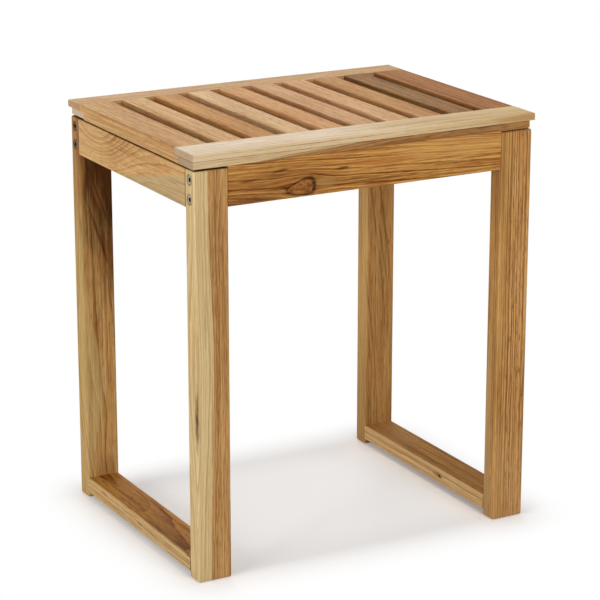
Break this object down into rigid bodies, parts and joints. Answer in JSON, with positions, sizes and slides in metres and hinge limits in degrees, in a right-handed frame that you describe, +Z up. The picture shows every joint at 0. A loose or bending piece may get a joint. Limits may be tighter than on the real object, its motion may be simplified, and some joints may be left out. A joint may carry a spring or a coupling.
{
  "type": "bath stool",
  "caption": "Free-standing wooden bath stool with closed side frames, bolted aprons and a slatted seat that lets water drain.",
  "frame": {"origin": "on the floor, under the middle of the seat", "axes": "+Z up, +X along the seat's length to the right, the front with its long apron faces -Y"},
  "size_m": [0.4, 0.3, 0.45],
  "materials": {
    "hardwood": "oiled honey-coloured hardwood, straight grain, satin",
    "sapwood": "oiled pale sapwood, fine straight grain, satin",
    "red_heartwood": "oiled reddish heartwood, satin",
    "peg_wood": "plain turned hardwood peg, glued in",
    "bolt_steel": "stainless steel, machined",
    "screw_steel": "zinc-plated steel"
  },
  "bodies": {
    "root": {"seat_front_board": "sapwood", "seat_rear_board": "sapwood", "seat_front_batten": "hardwood", "seat_rear_batten": "hardwood", "front_apron": "hardwood", "rear_apron": "hardwood", "left_front_leg": "hardwood", "left_rear_leg": "hardwood", "right_front_leg": "hardwood", "right_rear_leg": "hardwood", "left_top_rail": "hardwood", "right_top_rail": "hardwood", "left_foot_rail": "hardwood", "right_foot_rail": "hardwood", "left_apron_bolts": "bolt_steel", "right_apron_bolts": "bolt_steel", "front_barrel_nuts": "bolt_steel", "rear_barrel_nuts": "bolt_steel", "left_frame_dowels": "peg_wood", "right_frame_dowels": "peg_wood", "seat_screws": "screw_steel", "seat_slat_01": "hardwood", "seat_slat_02": "hardwood", "seat_slat_03": "hardwood", "seat_slat_04": "hardwood", "seat_slat_05": "hardwood", "seat_slat_06": "hardwood", "seat_slat_07": "hardwood", "seat_slat_08": "hardwood", "seat_slat_09": "hardwood", "seat_slat_10": "red_heartwood"}
  },
  "joints": []
}
